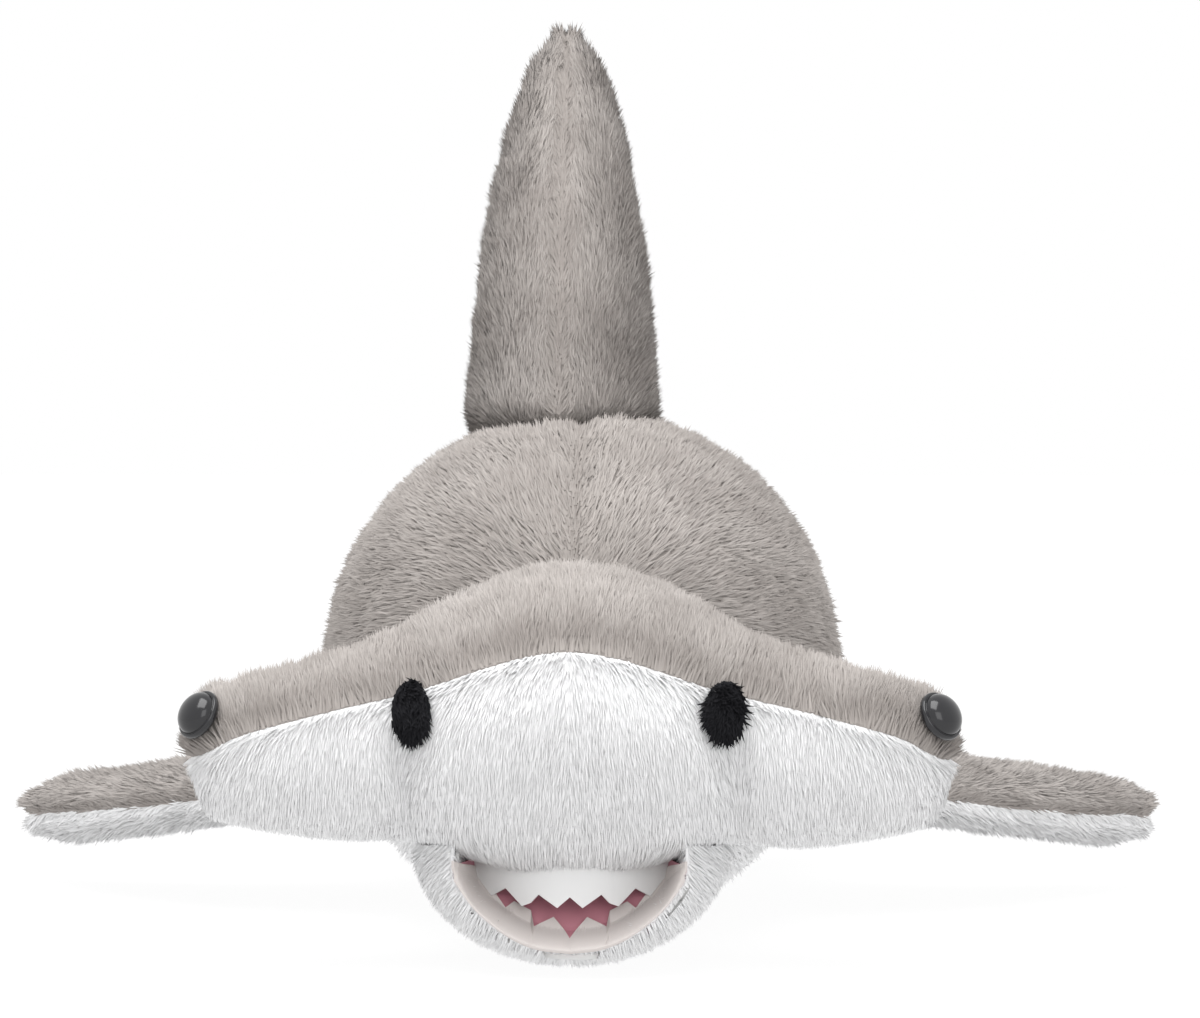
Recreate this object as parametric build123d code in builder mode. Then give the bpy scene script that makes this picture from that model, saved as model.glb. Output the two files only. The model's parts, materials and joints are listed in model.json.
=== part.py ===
from build123d import *
import os
from math import acos, atan2, degrees, hypot

# Plush hammerhead shark, in millimetres, lying on its belly. It faces -Y, +X is its own left and +Z is up.
# The origin is on the floor under the middle of its length.

# Driving dimensions
LENGTH = 400  # nose to tail fin
NOSE = -LENGTH / 2  # the front of the snout
AHEAD = NOSE - 20  # shapes seen from the front are drawn here and cut backwards
AXIS_HEIGHT = 64  # the line through the middle of the body
SKIN = 5  # plush: backing and pile
PECTORAL_SKIN = 3.5
THIN_SKIN = 2.5  # plush of the small fins, pressed flat
SEAM = 0.3  # between two panels, and between a skin and its stuffing
PLAY = 0.8  # between two parts that bend against each other
CLOTH = 1.2  # felt and satin

NECK = (0, NOSE + 115, AXIS_HEIGHT)  # the head nods about this point
NECK_BALL = 62  # front of the body
BARREL = ((-60, 69), (0, 63), (50, 47))  # (y, radius) along the body
BODY_END = (58, 45.5)  # (y, radius)
BODY_TAPER = -0.28  # slope of the flank where the body ends
NECK_ARC = 63  # degrees of the ball from the neck to the barrel
TAIL = (0, 62, AXIS_HEIGHT)  # the tail swings about this point
TAIL_BALL = 43
TAIL_END = (136, 18)  # (y, radius)

# Half of the hammer, from the middle outwards: (x, y, z, half depth, half height)
HAMMER = (
    (0, NOSE + 46, 60, 46, 37.5),
    (25, NOSE + 43, 58, 42, 33),
    (45, NOSE + 34, 55.5, 28, 25.5),
    (65, NOSE + 30, 54, 24, 21),
    (80, NOSE + 30, 53.5, 20, 16.5),
    (90, NOSE + 31, 53.5, 13, 10.5),
    (93.5, NOSE + 31, 53.5, 8.5, 7),
)
HALF_HAMMER = HAMMER[-1][0]
HAMMER_SEAM = ((0, 78), (40, 67.5), (63, 62), (78, 57.5), (88, 53), (110, 48))  # (x, z)
NOSTRIL = (36.6, 64.5, 9, 13.5)  # (x, z, width, height)

JAW = (0, NOSE + 42.5, 30.5)
JAW_SIZE = (42, 29.5)  # half width, radius
JAW_SKIN = 4
JAW_HINGE = Axis((0, NOSE + 65, 25), (1, 0, 0))
JAW_PLAY = 1.4  # room above the jaw for it to swing open by 15 degrees
LIP = ((0, 7.8), (21.5, 15), (27.5, 25))  # half of the mouth's outline, seen from the front: (x, z)
MOUTH_BACK = Plane(origin=(0, NOSE + 24, 7.5), x_dir=(1, 0, 0), z_dir=(0, -18.5, 14))
UPPER_TOOTH_LINE = NOSE + 27
UPPER_TOOTH_ROOT = 34  # height of the strip's top edge
UPPER_TEETH = ((0, 20.5), (3, 17.8), (7.5, 21), (9.5, 18.5), (11.5, 17.6), (15.5, 22), (19, 19.5), (22.5, 24.5))
LOWER_TEETH = ((0, 10.5), (4, 14.5), (8.6, 12.6), (9.4, 16), (13.5, 18), (15.5, 16.6), (19, 20), (25, 23.5))

EYE = (84.5, NOSE + 17.5, 61.5)
EYE_LOOKS = (0.66, -0.56, 0.5)
EYE_DIAMETER = 12
EYE_DOME = 4.6
SHANK_DIAMETER = 4
SHANK_LENGTH = 12
WASHER_DIAMETER = 10
WASHER_DEPTH = 5.2  # below the seat of the eye
WASHER_THICKNESS = 1.6

# Fins, as ellipses stacked outwards from the root: (distance out, shift along, half chord, half thickness)
DORSAL = (
    (0, 0, 43, 26.5),
    (33, 6, 36, 24),
    (64, 20, 26, 19),
    (84, 32, 18, 14),
    (97, 41, 8, 7),
    (101, 44, 3, 2.5),
)
PECTORAL = (
    (0, 0, 37, 10),
    (31, 6, 31, 9.5),
    (60, 21, 21, 8.7),
    (76, 33, 13, 7),
    (82, 38, 7, 4.5),
)
SECOND_DORSAL = ((0, 0, 14, 6.5), (10, 4, 10.5, 6), (18, 9, 6, 4.5), (21, 11, 3, 2.8))
PELVIC = ((0, 0, 14, 4.8), (14, 5, 10, 4.5), (24, 11, 5, 3.2))
ANAL = ((0, 0, 11, 5), (8, 4, 8, 4.8), (15, 9, 4, 3.2))
CAUDAL_UPPER = ((0, 0, 16, 10), (26, 14, 15, 10.5), (56, 27, 13, 10), (86, 39, 10, 8), (104, 47, 6.5, 5), (110, 50, 4, 3.2))
CAUDAL_LOWER = ((0, 0, 16, 10), (18, 12, 14, 9.5), (34, 26, 10, 8), (42, 34, 7, 5), (46, 37, 4, 3.2))
CAUDAL_HINGE = 138
CAUDAL_ROOT_RADIUS = 12
CAUDAL_MIDDLE = 144

BODY_AXIS = Axis((0, 0, AXIS_HEIGHT), (0, 1, 0))
PROFILE = Plane(origin=(0, 0, AXIS_HEIGHT), x_dir=(0, 1, 0), z_dir=(1, 0, 1))  # (y, radius)
SIDE_SEAM = Plane(origin=(0, -62, 38), z_dir=(0, -0.108, 1))  # grey above, white below
SIDES = (("left", 1), ("right", -1))

DORSAL_ROOT = Plane(origin=(0, -38, 131), x_dir=(0, 1, 0), z_dir=(0, 0, 1))
SECOND_DORSAL_ROOT = Plane(origin=(0, 98, 97.5), x_dir=(0, 1, -0.38), z_dir=(0, 0.38, 1))
ANAL_ROOT = Plane(origin=(0, 100, 31.4), x_dir=(0, 1, 0.38), z_dir=(0, 0.38, -1))


def side_fin_root(sign, origin, droop, taper=0):
    """The root plane of a fin on one flank. It droops by droop, and closes on the middle by taper, for each
    unit outwards and backwards."""
    x, y, z = origin
    along = (-sign * taper, 1, taper * droop)
    return Plane(origin=(sign * x, y, z), x_dir=along, z_dir=(sign, taper * (1 + droop**2), -droop))


PECTORAL_DROOP = 0.16
PELVIC_DROOP = 0.7
PECTORAL_ROOTS = {side: side_fin_root(sign, (70, -51, 38), PECTORAL_DROOP) for side, sign in SIDES}
PELVIC_ROOTS = {side: side_fin_root(sign, (47.5, 24, 31), PELVIC_DROOP, taper=0.25) for side, sign in SIDES}

os.makedirs("parts", exist_ok=True)

# Shapes. "grow" is how far a surface lies outside the finished plush; it is negative inside it.


def both_sides(half):
    """The mirror image of half a row of (x, ...) stations, and the half itself, from right to left."""
    return [(-x, *rest) for x, *rest in half[:0:-1]] + list(half)


def stack_shape(root, stations, grow):
    """A fin's padded blade: its ellipses lofted outwards, without those near the tip that grow would leave flat."""
    tip = stations[-1][0]
    with BuildPart() as shape:
        for out, shift, half_chord, half_thickness in stations:
            if half_thickness + grow > 1:
                with BuildSketch(root.offset(out * (tip + grow) / tip)):
                    with Locations((shift, 0)):
                        Ellipse(half_chord + grow, half_thickness + grow)
        loft()
    return shape.part


def fin_shape(root, stations, grow):
    """A blade on a root that is rounded about the line the fin bends on."""
    base = stations[0]
    with BuildPart() as shape:
        add(root_shape(root, base[2] + grow, base[3] + grow))
        split(bisect_by=root, keep=Keep.BOTTOM)
        add(stack_shape(root, stations, grow))
    return shape.part


def root_shape(root, half_chord, half_thickness):
    """The rounded root of a fin: half an ellipse turned about the line that the fin bends on."""
    oblique = root.y_dir + root.z_dir * 0.6  # keeps the surface's seam off the fin's middle plane
    with BuildPart() as shape:
        with BuildSketch(Plane(origin=root.origin, x_dir=root.x_dir, z_dir=oblique)):
            Ellipse(half_chord, half_thickness)
            with Locations((0, half_thickness)):
                Rectangle(2 * half_chord, 2 * half_thickness, mode=Mode.SUBTRACT)
        revolve(axis=Axis(root.origin, root.x_dir))
    return shape.part


def trough(root, stations, grow):
    """The pocket that a fin's root sits in, for a skin or stuffing whose surface lies grow outside."""
    return root_shape(root, stations[0][2] + PLAY - grow, stations[0][3] + PLAY - grow)


def torso_shape(grow):
    """A ball at the neck, a barrel, a taper to the tail, and the belly pressed flat where it lies."""
    troughs = [trough(DORSAL_ROOT, DORSAL, grow)]
    troughs += [trough(PECTORAL_ROOTS[side], PECTORAL, grow) for side, sign in SIDES]
    troughs += [trough(PELVIC_ROOTS[side], PELVIC, grow) for side, sign in SIDES]
    with BuildPart() as shape:
        with BuildSketch(PROFILE):
            with BuildLine():
                ball = CenterArc((NECK[1], 0), NECK_BALL + grow, 180, -NECK_ARC)
                flank = [(y, radius + grow) for y, radius in (*BARREL, BODY_END)]
                side = Spline([ball @ 1, *flank], tangents=[ball % 1, (1, BODY_TAPER)])
                Polyline([side @ 1, (BODY_END[0], 0), ball @ 0])
            make_face()
        revolve(axis=BODY_AXIS)
        with Locations(TAIL):
            Sphere(TAIL_BALL + PLAY - grow, mode=Mode.SUBTRACT)
        add(troughs, mode=Mode.SUBTRACT)
        split(bisect_by=Plane.XY.offset(-grow))
    return shape.part


def tail_shape(grow):
    """A ball that sits in the end of the body, and a cone to the root of the tail fin."""
    end = TAIL_END[0] + grow
    tip = TAIL_END[1] + grow
    ball_radius = TAIL_BALL + grow
    run = end - TAIL[1]
    touch = degrees(atan2(tip, run) + acos(ball_radius / hypot(tip, run)))
    with BuildPart() as shape:
        with BuildSketch(PROFILE):
            with BuildLine():
                ball = CenterArc((TAIL[1], 0), ball_radius, 180, touch - 180)
                Polyline([ball @ 1, (end, tip), (end, 0), ball @ 0])
            make_face()
        revolve(axis=BODY_AXIS)
        with Locations((0, CAUDAL_HINGE, AXIS_HEIGHT)):
            Cylinder(CAUDAL_ROOT_RADIUS + PLAY - grow, LENGTH, mode=Mode.SUBTRACT)
        add(trough(SECOND_DORSAL_ROOT, SECOND_DORSAL, grow), mode=Mode.SUBTRACT)
        add(trough(ANAL_ROOT, ANAL, grow), mode=Mode.SUBTRACT)
    return shape.part


def caudal_shape(grow):
    """The tail fin: an upright root that turns in the end of the tail, and two swept lobes."""
    middle = Plane(origin=(0, CAUDAL_MIDDLE, AXIS_HEIGHT), x_dir=(0, 1, 0), z_dir=(0, 0, 1))
    below = Plane(origin=middle.origin, x_dir=(0, 1, 0), z_dir=(0, 0, -1))
    with BuildPart() as shape:
        add(stack_shape(middle, CAUDAL_UPPER, grow))
        add(stack_shape(below, CAUDAL_LOWER, grow))
        with Locations((0, CAUDAL_HINGE, AXIS_HEIGHT)):
            Cylinder(CAUDAL_ROOT_RADIUS + grow, 2 * (TAIL_END[1] + grow))
    return shape.part


def hammer_shape(grow):
    """Ellipses lofted from one end of the hammer to the other."""
    stretch = 1 + grow / HALF_HAMMER
    with BuildPart() as shape:
        for x, y, z, half_depth, half_height in both_sides(HAMMER):
            with BuildSketch(Plane.YZ.offset(x * stretch)):
                with Locations((y, z)):
                    Ellipse(half_depth + grow, half_height + grow)
        loft()
    return shape.part


def head_shape(grow):
    """The hammer, hollowed at the back to ride on the front of the body."""
    with BuildPart() as shape:
        add(hammer_shape(grow))
        with Locations(NECK):
            Sphere(NECK_BALL + PLAY - grow, mode=Mode.SUBTRACT)
    return shape.part


def grey_side(shift):
    """Everything above the seam along the front of the hammer."""
    with BuildPart() as shape:
        with BuildSketch(Plane.XZ.offset(-AHEAD)):
            with BuildLine():
                seam = Spline([(x, z + shift) for x, z in both_sides(HAMMER_SEAM)])
                far = HAMMER_SEAM[-1][0]
                Polyline([seam @ 1, (far, 140), (-far, 140), seam @ 0])
            make_face()
        extrude(amount=-LENGTH / 2)
    return shape.part


def mouth_shape(depth, inset=0):
    """The mouth: a U from the front, back to the sloping plane that lies depth behind the lower teeth."""
    with BuildPart() as shape:
        with BuildSketch(Plane.XZ.offset(-AHEAD)):
            with BuildLine():
                lip = Spline([(x * (1 - inset / 27), z + inset) for x, z in both_sides(LIP)])
                Polyline([lip @ 1, (lip @ 1) + (0, 30), (lip @ 0) + (0, 30), lip @ 0])
            make_face()
        extrude(amount=-LENGTH / 4)
        split(bisect_by=MOUTH_BACK.offset(-depth))
    return shape.part


def zigzag(half, top):
    """A face in the XZ plane between a row of teeth and a straight edge at height top."""
    with BuildSketch(Plane.XZ) as row:
        with BuildLine():
            edge = Polyline(both_sides(half))
            Polyline([edge @ 1, ((edge @ 1).X, top), ((edge @ 0).X, top), edge @ 0])
        make_face()
    return row.sketch


def jaw_shape(grow):
    """A chin under the head, ahead of its hinge and clear of the head as it swings open."""
    x, y, z = JAW
    half_width, radius = (size + grow for size in JAW_SIZE)
    with BuildPart() as shape:
        with BuildSketch(Plane.XZ.offset(-y)):
            with Locations((x, z)):
                Ellipse(half_width, radius)
                Rectangle(2 * half_width, radius, align=(Align.CENTER, Align.MIN), mode=Mode.SUBTRACT)
        revolve(axis=Axis(JAW, (1, 0, 0)))
        add(hammer_shape(JAW_PLAY - grow), mode=Mode.SUBTRACT)
        split(bisect_by=Plane.XZ.offset(JAW_PLAY - JAW_HINGE.position.Y - grow))
    return shape.part


# Head: grey plush above the seam, white below it, and one stuffing.

eye_seats = {}
for side, sign in SIDES:
    x, y, z = EYE
    looks = (sign * EYE_LOOKS[0], *EYE_LOOKS[1:])
    eye_seats[side] = Plane(origin=(sign * x, y, z), z_dir=looks)

with BuildPart() as eye_holes:
    for seat in eye_seats.values():
        with BuildSketch(seat):
            Circle(EYE_DIAMETER / 2 + SEAM)
        extrude(amount=2 * EYE_DOME)
        with BuildSketch(seat):
            Circle(SHANK_DIAMETER / 2 + SEAM)
        extrude(amount=-SHANK_LENGTH - 1)
        with BuildSketch(seat.offset(-WASHER_DEPTH + SEAM)):
            Circle(WASHER_DIAMETER / 2 + SEAM)
        extrude(amount=-WASHER_THICKNESS - 2 * SEAM)

with BuildPart() as head_skin:
    add(head_shape(0))
    add(head_shape(-SKIN), mode=Mode.SUBTRACT)
    add(eye_holes.part, mode=Mode.SUBTRACT)

with BuildPart() as head_top_skin:
    add(head_skin.part)
    add(grey_side(SEAM / 2), mode=Mode.INTERSECT)
head_top_skin.part.label = "head_top_skin"
export_step(head_top_skin.part, "parts/head_top_skin.step")

with BuildPart() as head_under_skin:
    add(head_skin.part)
    add(grey_side(-SEAM / 2), mode=Mode.SUBTRACT)
head_under_skin.part.label = "head_under_skin"
export_step(head_under_skin.part, "parts/head_under_skin.step")

with BuildPart() as head_fill:
    add(head_shape(-SKIN - SEAM))
    add(eye_holes.part, mode=Mode.SUBTRACT)
head_fill.part.label = "head_fill"
export_step(head_fill.part, "parts/head_fill.step")

# Eyes: a black dome on a shank, held from inside by a press-on washer.

for side, seat in eye_seats.items():
    dome_radius = (EYE_DOME**2 + (EYE_DIAMETER / 2) ** 2) / (2 * EYE_DOME)
    with BuildPart() as eye:
        with Locations(seat.offset(EYE_DOME - dome_radius)):
            Sphere(dome_radius)
        split(bisect_by=seat)
        with BuildSketch(seat):
            Circle(SHANK_DIAMETER / 2)
        extrude(amount=-SHANK_LENGTH)
    eye.part.label = f"eye_{side}"
    export_step(eye.part, f"parts/eye_{side}.step")

    with BuildPart() as washer:
        with BuildSketch(seat.offset(-WASHER_DEPTH)):
            Circle(WASHER_DIAMETER / 2)
            Circle(SHANK_DIAMETER / 2 + SEAM / 2, mode=Mode.SUBTRACT)
        extrude(amount=-WASHER_THICKNESS)
    washer.part.label = f"eye_washer_{side}"
    export_step(washer.part, f"parts/eye_washer_{side}.step")

# Nostrils: black patches over the seam of the hammer.

for side, sign in SIDES:
    x, z, width, height = NOSTRIL
    with BuildPart() as nostril:
        add(hammer_shape(CLOTH))
        add(hammer_shape(SEAM), mode=Mode.SUBTRACT)
        with BuildSketch(Plane.XZ.offset(-AHEAD)):
            with Locations((sign * x, z)):
                Ellipse(width / 2, height / 2)
        extrude(amount=-50, mode=Mode.INTERSECT)
    nostril.part.label = f"nostril_{side}"
    export_step(nostril.part, f"parts/nostril_{side}.step")

# Upper teeth: a felt strip cut in a zigzag, sewn under the head.

with BuildPart() as upper_teeth:
    extrude(Pos(0, UPPER_TOOTH_LINE, 0) * zigzag(UPPER_TEETH, UPPER_TOOTH_ROOT), amount=CLOTH)
    add(hammer_shape(SEAM), mode=Mode.SUBTRACT)
upper_teeth.part.label = "upper_teeth"
export_step(upper_teeth.part, "parts/upper_teeth.step")

# Jaw: white plush, stuffing, the pink lining of the mouth, and a cream zigzag along the lip.

with BuildPart() as jaw_skin:
    add(jaw_shape(0))
    add(jaw_shape(-JAW_SKIN), mode=Mode.SUBTRACT)
    add(mouth_shape(CLOTH + 2 * SEAM), mode=Mode.SUBTRACT)
jaw_skin.part.label = "jaw_skin"
export_step(jaw_skin.part, "parts/jaw_skin.step")

with BuildPart() as jaw_fill:
    add(jaw_shape(-JAW_SKIN - SEAM))
    add(mouth_shape(CLOTH + 2 * SEAM), mode=Mode.SUBTRACT)
jaw_fill.part.label = "jaw_fill"
export_step(jaw_fill.part, "parts/jaw_fill.step")

with BuildPart() as mouth_lining:
    add(mouth_shape(CLOTH + SEAM, inset=SEAM))
    add(mouth_shape(SEAM), mode=Mode.SUBTRACT)
    add(jaw_shape(0), mode=Mode.INTERSECT)
mouth_lining.part.label = "mouth_lining"
export_step(mouth_lining.part, "parts/mouth_lining.step")

with BuildPart() as lower_teeth:
    add(mouth_shape(0, inset=SEAM))
    add(mouth_shape(-CLOTH), mode=Mode.SUBTRACT)
    extrude(Pos(0, NOSE + 10, 0) * zigzag(LOWER_TEETH, 0), amount=-40, mode=Mode.INTERSECT)
lower_teeth.part.label = "lower_teeth"
export_step(lower_teeth.part, "parts/lower_teeth.step")

# Body: two grey panels with a seam along the back, a white belly, and stuffing.

with BuildPart() as torso_skin:
    add(torso_shape(0))
    add(torso_shape(-SKIN), mode=Mode.SUBTRACT)

with BuildPart() as belly:
    add(torso_skin.part)
    split(bisect_by=SIDE_SEAM.offset(-SEAM / 2), keep=Keep.BOTTOM)
belly.part.label = "belly"
export_step(belly.part, "parts/belly.step")

with BuildPart() as body_fill:
    add(torso_shape(-SKIN - SEAM))
body_fill.part.label = "body_fill"
export_step(body_fill.part, "parts/body_fill.step")

with BuildPart() as care_label:
    with BuildSketch(Plane.XY.offset(46)):
        with Locations((66, 20)):
            Rectangle(22, 12)
    extrude(amount=CLOTH)
    add(torso_shape(SEAM), mode=Mode.SUBTRACT)
care_label.part.label = "care_label"
export_step(care_label.part, "parts/care_label.step")

# Tail: the same three panels, carried on to the root of the tail fin.

with BuildPart() as tail_skin:
    add(tail_shape(0))
    add(tail_shape(-SKIN), mode=Mode.SUBTRACT)

with BuildPart() as tail_belly:
    add(tail_skin.part)
    split(bisect_by=SIDE_SEAM.offset(-SEAM / 2), keep=Keep.BOTTOM)
tail_belly.part.label = "tail_belly"
export_step(tail_belly.part, "parts/tail_belly.step")

with BuildPart() as tail_fill:
    add(tail_shape(-SKIN - SEAM))
tail_fill.part.label = "tail_fill"
export_step(tail_fill.part, "parts/tail_fill.step")

for name, skin in (("back", torso_skin), ("tail_back", tail_skin)):
    for side, sign in SIDES:
        with BuildPart() as back:
            add(skin.part)
            split(bisect_by=SIDE_SEAM.offset(SEAM / 2))
            split(bisect_by=Plane(origin=(sign * SEAM / 2, 0, 0), z_dir=(sign, 0, 0)))
        back.part.label = f"{name}_{side}"
        export_step(back.part, f"parts/{name}_{side}.step")

# Fins: each is two skins sewn round their edge, over stuffing.


def export_fin(name, halves, middle, outer, inner, stuffing):
    """Write a fin's two skins, which mirror each other in its middle plane, and its stuffing."""
    with BuildPart() as facing:
        add(outer)
        add(inner, mode=Mode.SUBTRACT)
        split(bisect_by=middle.offset(SEAM / 2))
    with BuildPart() as opposite:
        mirror(facing.part, about=middle)
    for half, skin in zip(halves, (facing, opposite)):
        skin.part.label = f"{name}_{half}"
        export_step(skin.part, f"parts/{name}_{half}.step")
    with BuildPart() as fill:
        add(stuffing)
    fill.part.label = f"{name}_fill"
    export_step(fill.part, f"parts/{name}_fill.step")


def export_stacked_fin(name, halves, root, stations, skin, first_side):
    """A fin made by fin_shape; the first of its halves lies on the side that first_side points to."""
    middle = Plane(origin=root.origin, x_dir=root.x_dir, z_dir=first_side)
    shapes = [fin_shape(root, stations, -depth) for depth in (0, skin, skin + SEAM)]
    export_fin(name, halves, middle, *shapes)


export_stacked_fin("dorsal", ("left", "right"), DORSAL_ROOT, DORSAL, SKIN, (1, 0, 0))
export_stacked_fin(
    "second_dorsal", ("left", "right"), SECOND_DORSAL_ROOT, SECOND_DORSAL, THIN_SKIN, (1, 0, 0)
)
export_stacked_fin("anal", ("left", "right"), ANAL_ROOT, ANAL, THIN_SKIN, (1, 0, 0))
for side, sign in SIDES:
    top = (sign * PECTORAL_DROOP, 0, 1)
    export_stacked_fin(f"pectoral_{side}", ("top", "under"), PECTORAL_ROOTS[side], PECTORAL, PECTORAL_SKIN, top)
    top = (sign * PELVIC_DROOP, 0, 1)
    export_stacked_fin(f"pelvic_{side}", ("top", "under"), PELVIC_ROOTS[side], PELVIC, THIN_SKIN, top)

export_fin(
    "caudal",
    ("left", "right"),
    Plane.YZ,
    caudal_shape(0),
    caudal_shape(-THIN_SKIN),
    caudal_shape(-THIN_SKIN - SEAM),
)
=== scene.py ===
import json
import math

import bpy
import numpy as np
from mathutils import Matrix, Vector, noise


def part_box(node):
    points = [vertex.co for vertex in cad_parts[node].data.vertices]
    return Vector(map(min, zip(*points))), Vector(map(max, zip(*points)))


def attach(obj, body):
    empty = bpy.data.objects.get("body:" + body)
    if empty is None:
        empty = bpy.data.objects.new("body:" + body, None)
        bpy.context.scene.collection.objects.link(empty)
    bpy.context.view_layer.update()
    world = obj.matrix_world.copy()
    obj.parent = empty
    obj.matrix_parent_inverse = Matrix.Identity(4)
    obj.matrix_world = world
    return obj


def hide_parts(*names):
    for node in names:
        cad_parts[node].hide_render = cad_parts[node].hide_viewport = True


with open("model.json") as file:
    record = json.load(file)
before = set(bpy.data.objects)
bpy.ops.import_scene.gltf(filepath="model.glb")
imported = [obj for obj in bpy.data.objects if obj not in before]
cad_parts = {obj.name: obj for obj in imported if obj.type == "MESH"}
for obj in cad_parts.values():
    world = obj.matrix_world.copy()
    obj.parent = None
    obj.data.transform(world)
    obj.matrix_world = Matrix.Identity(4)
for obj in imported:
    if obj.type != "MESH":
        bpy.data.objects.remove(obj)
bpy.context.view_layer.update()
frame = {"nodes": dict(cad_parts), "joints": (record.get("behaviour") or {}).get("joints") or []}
mm = 0.001


# Studio: a white room with a floor that glows as white as its walls, a large soft light over the toy and a
# weaker one from the front, and a long lens a metre from the nose, a little above the eyes.
world = bpy.data.worlds.new("White room")
world.use_nodes = True
world.node_tree.nodes["Background"].inputs["Color"].default_value = (1, 1, 1, 1)
world.node_tree.nodes["Background"].inputs["Strength"].default_value = 1.0
bpy.context.scene.world = world
bpy.context.scene.view_settings.view_transform = "Standard"


def soft_light(name, place, target, size, power):
    """A square light that faces its target."""
    lamp = bpy.data.lights.new(name, "AREA")
    lamp.size = size
    lamp.energy = power
    holder = bpy.data.objects.new(name, lamp)
    holder.location = place
    holder.rotation_euler = (Vector(target) - Vector(place)).to_track_quat("-Z", "Y").to_euler()
    bpy.context.scene.collection.objects.link(holder)


soft_light("Over", (-0.15, -0.45, 1.15), (0, -0.05, 0.1), 0.9, 11)
soft_light("Front", (0.35, -1.5, 0.6), (0, -0.1, 0.08), 0.9, 4)

floor_mesh = bpy.data.meshes.new("Floor")
reach = 3.0
corners = [(-reach, -reach, 0), (reach, -reach, 0), (reach, reach, 0), (-reach, reach, 0)]
floor_mesh.from_pydata(corners, [], [(0, 1, 2, 3)])
floor = bpy.data.objects.new("Floor", floor_mesh)
bpy.context.scene.collection.objects.link(floor)
floor_paint = bpy.data.materials.new("White floor")
floor_paint.use_nodes = True
paint = floor_paint.node_tree.nodes["Principled BSDF"].inputs
paint["Base Color"].default_value = (0.1, 0.1, 0.1, 1)
paint["Specular IOR Level"].default_value = 0
paint["Emission Color"].default_value = (1, 1, 1, 1)
paint["Emission Strength"].default_value = 0.92
floor_mesh.materials.append(floor_paint)

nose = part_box("head_under_skin")[0].y

lens = bpy.data.cameras.new("Camera")
lens.sensor_width = 36
lens.lens = 130.4
lens.clip_start = 0.05
camera = bpy.data.objects.new("Camera", lens)
camera.location = (30 * mm, nose - 1.0, 157 * mm)
camera.rotation_euler = (math.radians(90 - 2.58), 0, math.radians(1.28))
bpy.context.scene.collection.objects.link(camera)
bpy.context.scene.camera = camera


# Head: a stuffed hammer of grey plush over white plush, sewn together along the front edge. The pile of
# both is combed down the front, and the white one fluffs out along the seam.


class Wire:
    """A value in a material's nodes; expressions on it add Math nodes."""

    def __init__(self, tree, socket):
        self.tree = tree
        self.socket = socket

    def node(self, kind, settings=None, **values):
        """A node of that type, with its settings made first. An input goes by its name with _ for a space, or
        by its number after an i."""
        made = self.tree.nodes.new(kind)
        for name, value in (settings or {}).items():
            setattr(made, name, value)
        for name, value in values.items():
            numbered = name[0] == "i" and name[1:].isdigit()
            socket = made.inputs[int(name[1:]) if numbered else name.replace("_", " ")]
            if isinstance(value, Wire):
                self.tree.links.new(value.socket, socket)
            else:
                socket.default_value = value
        return made

    def maths(self, operation, a, b):
        made = self.node("ShaderNodeMath", {"operation": operation}, i0=a, i1=b)
        return Wire(self.tree, made.outputs[0])

    def __add__(self, other):
        return self.maths("ADD", self, other)

    __radd__ = __add__

    def __mul__(self, other):
        return self.maths("MULTIPLY", self, other)

    __rmul__ = __mul__

    def __sub__(self, other):
        return self.maths("SUBTRACT", self, other)

    def __rsub__(self, other):
        return self.maths("SUBTRACT", other, self)

    def blend_colours(self, low, high):
        """low where this value is 0 and high where it is 1."""
        made = self.node("ShaderNodeMix", {"data_type": "RGBA"}, i0=self, i6=low, i7=high)
        return Wire(self.tree, made.outputs[2])


def bare_material(name):
    """A material with its shader, and a wire to start expressions from."""
    made = bpy.data.materials.new(name)
    made.use_nodes = True
    shader = made.node_tree.nodes["Principled BSDF"]
    return made, shader, Wire(made.node_tree, None)


def pile_material(name, root, dark, light):
    """Plush: each strand has its own shade between dark and light, and all are painted darker towards the root, for the
    shade deep in the pile.
    """
    made, shader, start = bare_material(name)
    shade = Wire(made.node_tree, start.node("ShaderNodeAttribute", {"attribute_name": "shade"}).outputs["Fac"])
    rise = Wire(made.node_tree, start.node("ShaderNodeAttribute", {"attribute_name": "rise"}).outputs["Fac"])
    strand = shade.blend_colours((*dark, 1), (*light, 1))
    colour = rise.blend_colours((*root, 1), strand)
    made.node_tree.links.new(colour.socket, shader.inputs["Base Color"])
    shader.inputs["Roughness"].default_value = 0.85
    shader.inputs["Specular IOR Level"].default_value = 0.2
    return made


# each plush is a material and the slot that it belongs to
# the grey root colour is painted shade deep in the pile
grey_pile = pile_material("Grey plush", (0.36, 0.33, 0.31), (0.29, 0.262, 0.245), (0.70, 0.658, 0.628))
white_pile = pile_material("White plush", (0.86, 0.86, 0.865), (0.84, 0.84, 0.845), (0.90, 0.90, 0.905))
grey_plush, white_plush = (grey_pile, "grey_plush"), (white_pile, "white_plush")


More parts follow.
